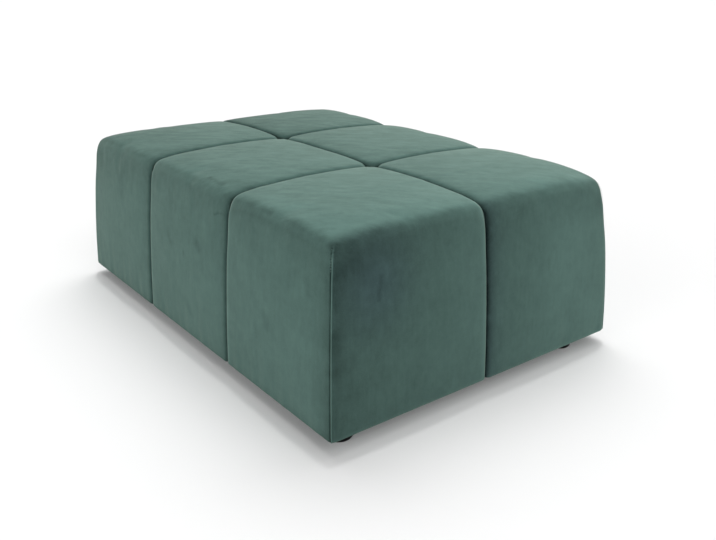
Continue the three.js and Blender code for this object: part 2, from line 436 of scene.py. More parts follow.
def wall_pulls(sides, points, start):
    """The cover's faint upright pulls, strongest at the bottom and just under the top edge."""
    x, y, z = points.T
    low_depth, low_height, low_reach = LOW_PULL
    high_depth, high_height, high_reach = HIGH_PULL
    above = z - CUSHION_BOTTOM
    low = low_depth * np.exp(-np.abs(above - low_height) / low_reach) * np.clip(above / PULL_START, 0, 1)
    high = high_depth * spot(z - high_height, high_reach)
    moved = points.copy()
    for axis, along in ((0, y), (1, x)):
        side, other = sides[axis], sides[1 - axis]
        distance, outer = side.near(points[:, axis])
        middle = np.clip((other.half - np.abs(along)) / PULL_ENDS, 0, 1)
        on_wall = np.clip((PULL_INWARDS[0] - distance) / PULL_INWARDS[1], 0, 1) * outer * middle
        wave = low * ripple(along, start + axis) + high * ripple(along, start + 3 + axis)
        moved[:, axis] += np.sign(points[:, axis]) * wave * on_wall
    return moved


def beside_corner(sides, points):
    """Signed distance along the wall from the upright corner seam, far away where there is no such seam."""
    x, y, z = points.T
    inset = inset_at(np.clip(z, CUSHION_BOTTOM, SEAM_END))
    beside = ((sides[0].half - inset - np.abs(x)) - (sides[1].half - inset - np.abs(y))) / math.sqrt(2)
    close = (np.abs(x) > sides[0].half - SEAM_ZONE) & (np.abs(y) > sides[1].half - SEAM_ZONE)
    return np.where(close & at_outer_corner(sides, x, y), beside, FAR)


def rise(value, start, end):
    """0 up to the start, 1 from the end on, and a smooth rise between them."""
    share = np.clip((value - start) / (end - start), 0, 1)
    return share * share * (3 - 2 * share)


def fading(distance, reach):
    """1 at no distance, and less and less beyond the reach."""
    return np.exp(-distance / reach)


def spot(distance, reach):
    """1 at no distance, and a soft round fall on both sides."""
    return np.exp(-((distance / reach) ** 2))


def over_edge(sides, points, axis):
    """Distance along the cover past the top edge, below 0 on the top. Also the distance from the side."""
    distance, outer = sides[axis].near(points[:, axis])
    z = points[:, 2] + corner_fall(sides, points[:, 0], points[:, 1])
    level = inset_at(EDGE_HEIGHT)
    steps = np.linalg.norm(np.diff(SECTION, axis=0), axis=1)
    along = np.concatenate([[0], np.cumsum(steps)])
    inward = np.interp(distance, SECTION[:, 0], along) - np.interp(level, SECTION[:, 0], along)
    over = np.where(distance > level, -inward, np.maximum(EDGE_HEIGHT - z, 0))
    return np.where(outer, over, -FAR), distance


def seam_shade(sides, x, y):
    """Painted sheen on one side of each seam, and painted shade on the other, where it falls into the seam.
    """
    share, middle, width = RIM_LIGHT
    shade = 0.0
    for value, side, light_end in ((x, sides[0], -1), (y, sides[1], 1)):
        distance, outer = side.near(value)
        light = share * spot(distance - middle, width) - RIM_LINE[0] * spot(distance, RIM_LINE[1])
        dark = sum(amount * fading(distance, reach) for amount, reach in RIM_DARK)
        shade = shade + np.where(outer, 0, np.where(np.sign(value) == light_end, light, -dark))
    return shade


def edge_shade(sides, x, y, over, on_wall):
    """Painted shade over the top edges."""
    above, inwards, downwards = EDGE_BAND
    shade = 0.0
    for axis, value in ((0, x), (1, y)):
        past = over[axis] + above
        dark = sides[axis].at_end(value, EDGE_DARK)
        if axis == 1 and is_nearest(sides):
            dark = dark + NEAREST_EDGE[0] * rise(-past, -NEAREST_EDGE[1], 0.0)
        band = np.where(past < 0, spot(past, inwards), fading(np.maximum(past, 0), downwards))
        shade = shade - dark * band * (1 - on_wall[1 - axis])
    return shade


def right_face_shade(sides, y, z, share, past):
    """Painted light and shade: the right-hand face lightens from its near end to its far one, and downwards.
    Also how cool it is.
    """
    down = np.clip(past - RIGHT_DOWN[0], 0, RIGHT_DOWN[1])
    if sides[1].low:
        lift, reach, slope = NEAR_LIFT
        lifted = 1 - lift * (1 - fading(down, reach)) - slope * down
        amount, (place, width), (height, tall) = COOL_SPOT
        cool = amount * spot(y - place, width) * spot(z - height, tall)
        return -NEAR_DARK[0] * (1 - share) ** NEAR_DARK[1] * lifted, cool
    dark, reach, slope = FAR_DARK
    light, start, full, deep = FAR_LIGHT
    darkened = dark * fading(share, reach) * (1 - slope * down)
    lightened = light * rise(share, start, full) * rise(down, 0, deep)
    return lightened - darkened, COOL_START[0] * fading(share, COOL_START[1])


def corner_shade(sides, x, y, z, over, away, on_wall, beside):
    """Painted shade on the faces towards the upright corner seams, and a painted highlight on the ridge
    beside a painted shadow in the groove.
    """
    corner = np.where(away[0] < away[1], away[1], away[0])
    dark = sides[0].at_end(x, CORNER_DARK) * fading(corner, CORNER_REACH) * on_wall[1]
    if is_nearest(sides):
        dark = dark + NEAREST_CORNER[0] * fading(corner, NEAREST_CORNER[1]) * on_wall[0]
    shade = -np.where(at_outer_corner(sides, x, y), dark, 0) * rise(np.maximum(*over), 0, CORNER_START)
    place, width, _ = SEAM_GROOVE
    line = RIDGE_LIGHT * bump(beside / SEAM_RIDGE[0]) - GROOVE_DARK * bump((beside - place) / width)
    return shade + line * np.clip((SEAM_END - z) / SEAM_FADE[1], 0, 1)


def painted_light_and_pile_shades(sides, points, column, row):
    """How light or dark, and how cool, each point of a cushion is: painted light and shade, with some of the
    pile's own tone.
    """
    x, y, z = points.T
    over, away = zip(*(over_edge(sides, points, axis) for axis in (0, 1)))
    on_wall = [rise(over[i], *WALL_START) * (away[i] < away[1 - i]) for i in (0, 1)]
    share = np.clip((y + sides[1].half) / (2 * sides[1].half), 0, 1)
    # Painted light: the tops grow lighter to the right and to the back
    on_top = (1 - rise(over[0], TOP_END, 0)) * (1 - rise(over[1], TOP_END, 0))
    middle, to_right, to_back = TOP_SHADE
    right = x + cushion_centre(column, row)[0]
    shade = on_top * (middle + to_right * right + to_back * share + CUSHION_TONES[row][column])
    # Painted sheen and shade beside the seams, and painted shade over the top edges
    shade += seam_shade(sides, x, y) + edge_shade(sides, x, y, over, on_wall)
    # Painted light and shade on the right-hand face
    start, further, full = RIGHT_START
    on_right = sides[0].high * (x > 0) * rise(over[0], start + further * share, full) * (1 - on_wall[1])
    face, cool = right_face_shade(sides, y, z, share, over[0])
    shade += on_right * face
    # Painted shade at the bottom of the front and back faces, a painted highlight at the bottom of the left
    # and right ones
    for (amount, high, low), on_face in ((FRONT_RIM, on_wall[1]), (RIGHT_RIM, on_wall[0])):
        shade += amount * rise(-z, -high, -low) * on_face
    # Painted shade and highlight at the upright corner seams
    shade += corner_shade(sides, x, y, z, over, away, on_wall, beside_corner(sides, points))
    return np.clip(shade, *SHADE_LIMITS), on_right * cool


def held_points(sides, points):
    """Which points of a cushion's cover its seams and its underside hold in place."""
    x, y, z = points.T
    held = z < CUSHION_BOTTOM + HELD_UNDER
    for side, value in zip(sides, (x, y)):
        distance, outer = side.near(value)
        held |= ~outer & (distance < HELD_SEAM)
    reach, width = HELD_CORNER
    from_x, from_y = sides[0].half - np.abs(x), sides[1].half - np.abs(y)
    corner = (from_x < reach) & (from_y < reach) & (np.abs(np.abs(from_x) - np.abs(from_y)) < width)
    return held | (corner & at_outer_corner(sides, x, y) & (z < SEAM_END))


def pushed_out(points, faces, held):
    """How far each point of a sewn cover moves when its filling pushes it out."""
    scene = bpy.context.scene
    mesh = bpy.data.meshes.new("trial_cover")
    mesh.from_pydata(points.tolist(), [], faces)
    trial = bpy.data.objects.new("trial_cover", mesh)
    scene.collection.objects.link(trial)
    group = trial.vertex_groups.new(name="held")
    group.add(np.nonzero(held)[0].tolist(), 1.0, "REPLACE")
    cloth = trial.modifiers.new("filling", "CLOTH")
    settings = cloth.settings
    for name, value in COVER_CLOTH.items():
        setattr(settings, name, value)
    settings.use_pressure = True
    settings.uniform_pressure_force = FILL_PRESSURE
    settings.vertex_group_mass = "held"
    settings.effector_weights.gravity = 0
    cloth.point_cache.frame_start, cloth.point_cache.frame_end = 1, FILL_FRAMES
    for frame in range(1, FILL_FRAMES + 1):
        scene.frame_set(frame)
    after = trial.evaluated_get(bpy.context.evaluated_depsgraph_get())
    flat = np.empty(len(points) * 3)
    after.data.vertices.foreach_get("co", flat)
    moved = flat.reshape(-1, 3) - points
    scene.frame_set(1)
    bpy.data.objects.remove(trial)
    bpy.data.meshes.remove(mesh)
    return moved * FILL_MOST / np.linalg.norm(moved, axis=1).max()


def filling_push(sides, xs, ys, shares):
    """How far the filling pushes out each point of the fine cover, from a trial with fewer points."""
    few_x, few_y, few_shares = sides[0].lines(FILL_EVERY), sides[1].lines(FILL_EVERY), wall_shares(FILL_EVERY)
    points, faces = cushion_points(sides, few_x, few_y, few_shares)
    moved = pushed_out(points, faces, held_points(sides, points))
    wide, deep = len(few_x), len(few_y)
    top = moved[: wide * deep].reshape(deep, wide, 3)
    to_x, to_y = spline(few_x, xs), spline(few_y, ys)
    fine_top = np.einsum("ab,bcd,ec->aed", to_y, top, to_x)
    rim = rim_of(wide, deep)
    rings = [moved[rim]]
    first = wide * deep
    for _ in few_shares:
        rings.append(moved[first : first + len(rim)])
        first += len(rim)
    rings = np.array(rings)
    down = spline([0, *(1 - few_shares)], 1 - shares)
    walls, first = [], 0
    for along in (to_x, to_y, to_x[::-1, ::-1], to_y[::-1, ::-1]):
        one = rings[:, np.arange(first, first + along.shape[1]) % len(rim)]
        walls.append(np.einsum("ab,bcd,ec->aed", down, one, along)[:, :-1])
        first += along.shape[1] - 1
    under = np.zeros((len(xs) * len(ys), 3))
    return np.concatenate([fine_top.reshape(-1, 3), np.concatenate(walls, 1).reshape(-1, 3), under])


def wall_shares(every=1):
    """Shares of the wall's height for its rows, from just under the top to the underside."""
    rows = round((TOP_START[1] - CUSHION_BOTTOM) / (WALL_STEP * (1 + every) / 2))
    even = np.linspace(1, 0, rows + 1)[1:-1]
    return np.concatenate([even[even > UNDER_START], UNDER_SHARES[every // 2 :: every]])


def rim_of(wide, deep):
    """The grid's outermost points in order, from its low corner along X first."""
    index = np.arange(wide * deep).reshape(deep, wide)
    return np.concatenate([index[0, :-1], index[:-1, -1], index[-1, :0:-1], index[:0:-1, 0]])


def grid_faces(wide, deep):
    """The faces of a grid that face up."""
    starts = [j * wide + i for j in range(deep - 1) for i in range(wide - 1)]
    return [(a, a + 1, a + wide + 1, a + wide) for a in starts]


def shade_smooth(mesh):
    mesh.polygons.foreach_set("use_smooth", [True] * len(mesh.polygons))


def cushion_points(sides, xs, ys, shares):
    """Points and faces of a cushion: a grid over the top, walls that hang from its rim, a flat underside."""
    wide, deep = len(xs), len(ys)
    grid_x, grid_y = (g.ravel() for g in np.meshgrid(xs, ys))
    top_x, top_y = plan_point(sides, grid_x, grid_y, np.ones_like(grid_x))
    points = [np.stack([top_x, top_y, top_height(sides, grid_x, grid_y)], 1)]
    top_faces = grid_faces(wide, deep)
    faces = list(top_faces)
    rim = rim_of(wide, deep)
    rim_x, rim_y, rim_top = grid_x[rim], grid_y[rim], points[0][rim, 2]
    above, count = rim, wide * deep
    for share in shares:
        x, y = plan_point(sides, rim_x, rim_y, np.full_like(rim_x, share))
        points.append(np.stack([x, y, CUSHION_BOTTOM + share * (rim_top - CUSHION_BOTTOM)], 1))
        below = np.arange(count, count + len(rim))
        count += len(rim)
        for k in range(len(rim)):
            after = (k + 1) % len(rim)
            faces.append((above[k], below[k], below[after], above[after]))
        above = below
    under_x, under_y = plan_point(sides, grid_x, grid_y, np.zeros_like(grid_x))
    points.append(np.stack([under_x, under_y, np.full_like(under_x, CUSHION_BOTTOM)], 1))
    joined = dict(zip(rim + count, above))
    for face in top_faces:
        faces.append([joined.get(corner + count, corner + count) for corner in reversed(face)])
    return np.concatenate(points), [[int(v) for v in face] for face in faces]


def cushion_mesh(name, column, row):
    """A closed mesh of one filled cushion, with its corner seams."""
    sides = cushion_sides(column, row)
    xs, ys, shares = sides[0].lines(), sides[1].lines(), wall_shares()
    points, faces = cushion_points(sides, xs, ys, shares)
    points += filling_push(sides, xs, ys, shares)
    start = 1.3 + 2.9 * column + 1.7 * row  # of the ripples, so that no two cushions are alike
    # Painted light and shade, with the pile's own tone, and the cool tint, taken before the seams move
    shade, cool = painted_light_and_pile_shades(sides, points, column, row)
    points = seam_bows(sides, corner_seam(sides, wall_pulls(sides, points, start), start))
    mesh = bpy.data.meshes.new(name)
    mesh.from_pydata((points + np.array(cushion_centre(column, row))).tolist(), [], faces)
    for attribute, values in (("pile_and_painted_light", shade), ("nap_cool", cool)):
        mesh.attributes.new(attribute, "FLOAT", "POINT").data.foreach_set("value", values.astype(np.float32))
    shade_smooth(mesh)
    return mesh


def cushion_centre(column, row):
    return (
        (column - (len(COLUMNS) - 1) / 2) * CUSHION_LENGTH,
        (row - (len(ROWS) - 1) / 2) * CUSHION_DEPTH,
        0.0,
    )


def add_object(name, mesh, *materials):
    piece = bpy.data.objects.new(name, mesh)
    bpy.context.scene.collection.objects.link(piece)
    for material in materials:
        mesh.materials.append(material)
    return piece


class Nodes:
    """Short calls for building a node tree."""

    def __init__(self, tree):
        self.tree = tree

    def add(self, kind, inputs=(), **settings):
        node = self.tree.nodes.new(kind)
        for key, value in settings.items():
            setattr(node, key, value)
        for key, value in dict(inputs).items():
            if isinstance(value, bpy.types.NodeSocket):
                self.tree.links.new(value, node.inputs[key])
            else:
                node.inputs[key].default_value = value
        return node

    def join(self, value, node, socket):
        self.tree.links.new(value, node.inputs[socket])

    def grouped(self, group, values):
        return self.add("ShaderNodeGroup", values, node_tree=group).outputs

    def place(self):
        return self.add("ShaderNodeTexCoord").outputs["Object"]

    def math(self, operation, *values, clamp=False):
        node = self.add("ShaderNodeMath", dict(enumerate(values)), operation=operation, use_clamp=clamp)
        return node.outputs[0]

    def total(self, *values):
        result = values[0]
        for value in values[1:]:
            result = self.math("ADD", result, value)
        return result

    def vectors(self, operation, *values, output=0):
        node = self.add("ShaderNodeVectorMath", dict(enumerate(values)), operation=operation)
        return node.outputs[output]

    def dot(self, a, b):
        return self.vectors("DOT_PRODUCT", a, b, output="Value")

    def scaled(self, vector, factor):
        return self.add("ShaderNodeVectorMath", {0: vector, "Scale": factor}, operation="SCALE").outputs[0]

    def noise(self, place, scale, detail=2.0, roughness=0.5):
        values = {"Vector": place, "Scale": scale, "Detail": detail, "Roughness": roughness}
        return self.add("ShaderNodeTexNoise", values).outputs[0]

    def wave_about_zero(self, noise, amount):
        """A noise between about -amount and amount."""
        return self.math("MULTIPLY", self.math("SUBTRACT", noise, 0.5), self.math("MULTIPLY", amount, 2.0))

    def strokes(self, place, scale, detail, roughness, amount):
        return self.wave_about_zero(self.noise(place, scale, detail, roughness), amount)

    def fade(self, value, start, end):
        """0 where the value is start, and 1 where it is end."""
        values = {"Value": value, "From Min": start, "From Max": end}
        return self.add("ShaderNodeMapRange", values, interpolation_type="SMOOTHSTEP").outputs[0]

    def turned(self, place, turn, size):
        """The place on axes turned by the given angles, and stretched along each by the given size."""
        values = {"Vector": place, "Rotation": turn, "Scale": size}
        return self.add("ShaderNodeMapping", values, vector_type="TEXTURE").outputs[0]

    def tinted(self, colour, shade):
        """The colour made lighter or darker by a share."""
        return self.scaled(colour, self.math("ADD", shade, 1.0))

    def relief(self, shader, height, strength, depth):
        """Gives the shader's surface a fine relief."""
        bump_node = self.add("ShaderNodeBump", {"Height": height, "Strength": strength, "Distance": depth})
        self.join(bump_node.outputs[0], shader, "Normal")


def unevenness_group():
    """Soft patches, small mottling and a fine grain, for any of the finishes."""
    tree = bpy.data.node_groups.new("uneven_finish", "ShaderNodeTree")
    sockets = (
        ("Place", "NodeSocketVector", None),
        ("Patch Scale", "NodeSocketFloat", 10.0),
        ("Patch Amount", "NodeSocketFloat", 0.05),
        ("Mottle Scale", "NodeSocketFloat", 90.0),
        ("Mottle Amount", "NodeSocketFloat", 0.03),
        ("Grain Scale", "NodeSocketFloat", 700.0),
    )
    for name, kind, value in sockets:
        socket = tree.interface.new_socket(name, in_out="INPUT", socket_type=kind)
        if value is not None:
            socket.default_value = value
    for name in ("Shade", "Grain"):
        tree.interface.new_socket(name, in_out="OUTPUT", socket_type="NodeSocketFloat")
    make = Nodes(tree)
    given = make.add("NodeGroupInput").outputs
    patches = make.noise(given["Place"], given["Patch Scale"], 3.0, 0.55)
    mottle = make.noise(given["Place"], given["Mottle Scale"], 3.0, 0.6)
    shade = make.total(
        make.wave_about_zero(patches, given["Patch Amount"]),
        make.wave_about_zero(mottle, given["Mottle Amount"]),
    )
    grain = make.noise(given["Place"], given["Grain Scale"], 2.0, 0.7)
    make.add("NodeGroupOutput", {"Shade": shade, "Grain": grain})
    return tree


def line_mark_group():
    """A soft mark along a short line: pile rubbed the other way, or the painted shade of a small crease."""
    tree = bpy.data.node_groups.new("pile_and_crease_mark", "ShaderNodeTree")
    inputs = {"Place": "Vector", "From": "Vector", "To": "Vector", "Width": "Float", "Amount": "Float"}
    for name, kind in inputs.items():
        tree.interface.new_socket(name, in_out="INPUT", socket_type="NodeSocket" + kind)
    tree.interface.new_socket("Shade", in_out="OUTPUT", socket_type="NodeSocketFloat")
    make = Nodes(tree)
    given = make.add("NodeGroupInput").outputs
    line = make.vectors("SUBTRACT", given["To"], given["From"])
    away = make.vectors("SUBTRACT", given["Place"], given["From"])
    share = make.math("DIVIDE", make.dot(away, line), make.dot(line, line), clamp=True)
    distance = make.vectors("DISTANCE", away, make.scaled(line, share), output="Value")
    inside = make.fade(make.math("DIVIDE", distance, given["Width"]), 1.0, 0.0)
    make.add("NodeGroupOutput", {"Shade": make.math("MULTIPLY", inside, given["Amount"])})
    return tree


def new_material(name, settings):
    """A material with one Principled shader, its constants on the shader's own sockets."""
    material = bpy.data.materials.new(name)
    material.use_nodes = True
    shader = material.node_tree.nodes["Principled BSDF"]
    for socket, value in settings.items():
        shader.inputs[socket].default_value = value
    return material, Nodes(material.node_tree), shader


def uneven(make, place, group, mottle, grain, patch=None):
    """Shade and grain of an uneven finish, from the scale and amount of its patches and of its mottling."""
    inputs = {"Place": place, "Mottle Scale": mottle[0], "Mottle Amount": mottle[1], "Grain Scale": grain}
    if patch:
        inputs |= {"Patch Scale": patch[0], "Patch Amount": patch[1]}
    outputs = make.grouped(group, inputs)
    return outputs["Shade"], outputs["Grain"]


# The velvet's strokes, as scale, detail, roughness and amount of the noise behind them
TOP_STROKES = (55.0, 5.0, 0.62, 0.32)
WALL_STROKES = (110.0, 3.0, 0.6, 0.10)
WALL_CLOUDS = (26.0, 3.0, 0.55, 0.10)
STROKE_TURN = 46  # degrees from +X, on the tops
TOP_STRETCH = (2.6, 1.0, 1.0)
WALL_STRETCH = (1.0, 1.0, 5.0)
FACING_UP = (0.35, 0.8)  # how far up a surface faces where the tops' strokes come in, and where they are full
PILE_AMOUNT = 0.20
MARK_WANDER = (120.0, 0.010)  # scale and size of the wander in the marks' edges


def velvet_strokes(make, place):
    """Strokes of the brushed pile: slanting on the top, upright on the walls."""
    normal = make.add("ShaderNodeNewGeometry").outputs["Normal"]
    upward = make.fade(make.dot(normal, (0.0, 0.0, 1.0)), *FACING_UP)
    slanting = make.turned(place, (0.0, 0.0, math.radians(STROKE_TURN)), TOP_STRETCH)
    upright = make.turned(place, (0.0, 0.0, 0.0), WALL_STRETCH)
    wall_strokes = make.total(make.strokes(upright, *WALL_STROKES), make.strokes(place, *WALL_CLOUDS))
    return make.total(
        make.math("MULTIPLY", make.strokes(slanting, *TOP_STROKES), upward),
        make.math("MULTIPLY", wall_strokes, make.math("SUBTRACT", 1.0, upward)),
    )


def velvet_marks(make, place):
    """The shades of rubbed pile and the painted shade of small creases, with edges that wander a little."""
    scale, size = MARK_WANDER
    noise = make.add("ShaderNodeTexNoise", {"Vector": place, "Scale": scale}).outputs["Color"]
    moved = make.vectors("MULTIPLY_ADD", noise, (size, size, size), place)
    wandering = make.vectors("SUBTRACT", moved, (size / 2, size / 2, size / 2))
    group = line_mark_group()
    marks = []
    for start, end, width, amount in PILE_AND_CREASE_MARKS:
        values = {"Place": wandering, "From": start, "To": end, "Width": width, "Amount": amount}
        marks.append(make.grouped(group, values)["Shade"])
    return marks


def velvet_material(group):
    settings = {
        "Roughness": 0.9,
        "Specular IOR Level": 0.0,
        "Sheen Weight": 1.0,
        "Sheen Roughness": 0.35,
    }
    material, make, shader = new_material("velvet", settings)
    place = make.place()
    shade, grain = uneven(make, place, group, patch=(11.0, 0.10), mottle=(70.0, 0.10), grain=800.0)
    strokes = velvet_strokes(make, place)
    pile = make.wave_about_zero(grain, PILE_AMOUNT)
    # Painted light and shade with the pile's own tone, which tint the sheen as well as the colour
    lit_and_pile = make.add("ShaderNodeAttribute", attribute_name="pile_and_painted_light").outputs["Fac"]
    cool = make.add("ShaderNodeAttribute", attribute_name="nap_cool").outputs["Fac"]
    colours = {0: cool, 6: (*VELVET_GREEN, 1), 7: (*VELVET_COOL, 1)}
    colour = make.add("ShaderNodeMix", colours, data_type="RGBA").outputs[2]
    shade = make.total(shade, strokes, pile, lit_and_pile, *velvet_marks(make, place))
    make.join(make.tinted(colour, shade), shader, "Base Color")
    make.join(make.tinted(VELVET_SHEEN, shade), shader, "Sheen Tint")
    height = make.total(grain, make.math("MULTIPLY", strokes, 3.0))
    make.relief(shader, height, strength=0.35, depth=0.0006)
    return material


def cover_cloth_material(group):
    settings = {"Roughness": 0.92, "Specular IOR Level": 0.25}
    material, make, shader = new_material("cover_cloth", settings)
    place = make.place()
    shade, grain = uneven(make, place, group, patch=(14.0, 0.2), mottle=(240.0, 0.5), grain=1400.0)
    dimples = make.add("ShaderNodeTexVoronoi", {"Vector": place, "Scale": 420.0}).outputs["Distance"]
    shade = make.total(shade, make.math("MULTIPLY", dimples, 0.5))
    make.join(make.tinted((0.012, 0.012, 0.013), shade), shader, "Base Color")
    height = make.total(grain, make.math("MULTIPLY", dimples, 1.5))
    make.relief(shader, height, strength=0.5, depth=0.0003)
    return material


def foot_plastic_material(group):
    material, make, shader = new_material("foot_plastic", {"Specular IOR Level": 0.08})
    shade, grain = uneven(make, make.place(), group, patch=(60.0, 0.15), mottle=(300.0, 0.1), grain=2500.0)
    make.join(make.tinted((0.004, 0.004, 0.0045), shade), shader, "Base Color")
    make.join(make.fade(grain, -1.2, 2.2), shader, "Roughness")
    make.relief(shader, grain, strength=0.25, depth=0.0001)
    return material


def thread_material(group):
    settings = {"Roughness": 0.6, "Specular IOR Level": 0.3, "Sheen Weight": 0.3}
    material, make, shader = new_material("thread", settings)
    shade, _ = uneven(make, make.place(), group, mottle=(500.0, 0.15), grain=3000.0)
    make.join(make.tinted((0.12, 0.20, 0.175), shade), shader, "Base Color")
    return material


def staple_material(group):
    material, make, shader = new_material("staple_steel", {"Metallic": 1.0, "Roughness": 0.35})
    shade, _ = uneven(make, make.place(), group, mottle=(600.0, 0.2), grain=3000.0)
    make.join(make.tinted((0.45, 0.45, 0.46), shade), shader, "Base Color")
    return material


def make_cushions(velvet):
    for row, row_name in enumerate(ROWS):
        for column, column_name in enumerate(COLUMNS):
            name = f"velvet_cushion_{row_name}_{column_name}"
            piece = add_object(name, cushion_mesh(name, column, row), velvet)
            finish = piece.modifiers.new("smooth", "SUBSURF")
            finish.levels = finish.render_levels = 1
            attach(piece, "root")
            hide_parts(f"cushion_{row_name}_{column_name}")


# Radius and height of a foot's outline, from the middle of its sole to the middle of its top
FOOT_PROFILE = (
    (0.0, 0.0036),
    (0.0080, 0.0036),
    (0.0092, 0.0030),
    (0.0098, 0.0004),
    (0.0104, 0.0),
    (0.0232, 0.0),
    (0.0248, 0.0005),
    (0.0259, 0.0017),
    (0.0264, 0.0034),
    (0.0265, 0.0060),
    (0.0265, 0.0170),
    (0.0264, 0.0195),
    (0.0258, 0.0214),
    (0.0246, 0.0226),
    (0.0230, 0.0229),
    (0.0, 0.0229),
)
FOOT_SIDES = 72


def make_feet(plastic):
    for row_name in ROWS:
        for end_name in ("left", "right"):
            low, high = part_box(f"foot_{row_name}_{end_name}")
            centre = (low + high) / 2
            turning = bmesh.new()
            profile = [turning.verts.new((centre.x + r, centre.y, z)) for r, z in FOOT_PROFILE]
            edges = [turning.edges.new(pair) for pair in zip(profile, profile[1:])]
            bmesh.ops.spin(
                turning, geom=profile + edges, cent=(centre.x, centre.y, 0), axis=(0, 0, 1),
                angle=2 * math.pi, steps=FOOT_SIDES, use_merge=True,
            )
            bmesh.ops.remove_doubles(turning, verts=turning.verts, dist=1e-6)
            bmesh.ops.recalc_face_normals(turning, faces=turning.faces)
            mesh = bpy.data.meshes.new(f"round_foot_{row_name}_{end_name}")
            turning.to_mesh(mesh)
            turning.free()
            shade_smooth(mesh)
            piece = add_object(mesh.name, mesh, plastic)
            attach(piece, "root")
            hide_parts(f"foot_{row_name}_{end_name}")


COVER_STEP = 0.012  # between the grid lines of its middle
COVER_MARGIN = 0.001  # from the fold to the first of them
COVER_FOLD = 0.014  # width of the turned-under edge
FOLD_STEP = (0.0004, 0.0012)  # height and width of the step where it ends
COVER_ROUND = (0.0005, 0.0015)  # depth and reach of its rounding
COVER_SAG = (0.0003, 0.05)  # how far in it can lie, and the distance from the edge over which that comes in
SAG_WAVES = (0.4, 0.15, 0.8)  # the waves' share along X, their share along Y, and their start


def cloth_lines(start, end):
    """Grid lines of the underside cloth from one edge to the other, close together at the edges."""
    edge = np.array([0.0, 0.0006, 0.002, COVER_FOLD - FOLD_STEP[1], COVER_FOLD])
    first, last = start + COVER_FOLD + COVER_MARGIN, end - COVER_FOLD - COVER_MARGIN
    inner = np.linspace(first, last, round((end - start) / COVER_STEP))
    return np.concatenate([start + edge, inner, (end - edge)[::-1]])


def make_underside_cloth(cloth):
    """The black cloth that closes the underside: a closed sheet with a turned-under edge, nearly flat."""
    low, high = COVER_LOW, COVER_HIGH
    lines = cloth_lines(low.x, high.x), cloth_lines(low.y, high.y)
    step_height, step_width = FOLD_STEP
    grid_x, grid_y = (g.ravel() for g in np.meshgrid(*lines))
    inset = np.minimum(
        np.minimum(grid_x - low.x, high.x - grid_x), np.minimum(grid_y - low.y, high.y - grid_y)
    )
    rounding = COVER_ROUND[0] * np.clip(1 - inset / COVER_ROUND[1], 0, 1) ** 2
    fold = step_height * np.clip((inset - COVER_FOLD + step_width) / step_width, 0, 1)
    along_x, along_y, start = SAG_WAVES
    waves = 1 + ripple(grid_x * along_x + grid_y * along_y, start)
    sag = COVER_SAG[0] * 0.5 * waves * np.clip(inset / COVER_SAG[1], 0, 1)
    bottom = low.z + rounding + fold + sag
    top = np.full_like(bottom, high.z) - rounding
    wide, deep = len(lines[0]), len(lines[1])
    count = wide * deep
    points = np.concatenate([np.stack([grid_x, grid_y, top], 1), np.stack([grid_x, grid_y, bottom], 1)])
    faces = []
    for face in grid_faces(wide, deep):
        faces.append(face)
        faces.append(tuple(corner + count for corner in reversed(face)))
    rim = rim_of(wide, deep)
    for one, after in zip(rim, np.roll(rim, -1)):
        faces.append((int(one), int(one) + count, int(after) + count, int(after)))
    mesh = bpy.data.meshes.new("underside_cloth")
    mesh.from_pydata(points.tolist(), [], faces)
    shade_smooth(mesh)
    piece = add_object("underside_cloth", mesh, cloth)
    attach(piece, "root")
    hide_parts("underside_cover")


def repeat_tree(name):
    """Repeats a small rod along every line of the given mesh, laid along the line."""
    tree = bpy.data.node_groups.new(name, "GeometryNodeTree")
    tree.interface.new_socket("Lines", in_out="INPUT", socket_type="NodeSocketGeometry")
    for socket, value in (("Pitch", 0.004), ("Length", 0.003), ("Radius", 0.0004), ("Flatness", 1.0)):
        tree.interface.new_socket(socket, in_out="INPUT", socket_type="NodeSocketFloat").default_value = value
    tree.interface.new_socket("Finish", in_out="INPUT", socket_type="NodeSocketMaterial")
    tree.interface.new_socket("Rods", in_out="OUTPUT", socket_type="NodeSocketGeometry")
    make = Nodes(tree)
    given = make.add("NodeGroupInput").outputs
    curve = make.add("GeometryNodeMeshToCurve", {"Mesh": given["Lines"]}).outputs[0]
    spacing = {"Curve": curve, "Length": given["Pitch"]}
    places = make.add("GeometryNodeResampleCurve", spacing, mode="LENGTH").outputs[0]
    tangent = make.add("GeometryNodeInputTangent").outputs[0]
    turn = make.add("FunctionNodeAlignRotationToVector", {"Vector": tangent}, axis="Z").outputs[0]
    rod = make.add("GeometryNodeMeshUVSphere", {"Segments": 8, "Rings": 6, "Radius": 0.5}).outputs["Mesh"]
    width = make.math("MULTIPLY", given["Radius"], 2.0)
    flat = make.math("MULTIPLY", width, given["Flatness"])
    size = make.add("ShaderNodeCombineXYZ", {0: width, 1: flat, 2: given["Length"]}).outputs[0]
    laid = make.add(
        "GeometryNodeInstanceOnPoints",
        {"Points": places, "Instance": rod, "Rotation": turn, "Scale": size},
    ).outputs[0]
    real = make.add("GeometryNodeRealizeInstances", {"Geometry": laid}).outputs[0]
    finished = make.add("GeometryNodeSetMaterial", {"Geometry": real, "Material": given["Finish"]}).outputs[0]
    make.add("NodeGroupOutput", {"Rods": finished})
    return tree


def repeated(name, lines, tree, **values):
    """A plain mesh made by the tree along the given lines of points."""
    points = [point for line in lines for point in line]
    edges, first = [], 0
    for line in lines:
        edges += [(first + i, first + i + 1) for i in range(len(line) - 1)]
        first += len(line)
    path = bpy.data.meshes.new(name + "_path")
    path.from_pydata(points, edges, [])
    carrier = add_object(name, path)
    modifier = carrier.modifiers.new("repeat", "NODES")
    modifier.node_group = tree
    for item in tree.interface.items_tree:
        if item.in_out == "INPUT" and item.name.lower() in values:
            modifier[item.identifier] = values[item.name.lower()]
    done = bpy.data.meshes.new_from_object(carrier.evaluated_get(bpy.context.evaluated_depsgraph_get()))
    carrier.modifiers.clear()
    carrier.data = done
    done.name = name
    shade_smooth(done)
    bpy.data.meshes.remove(path)
    return carrier


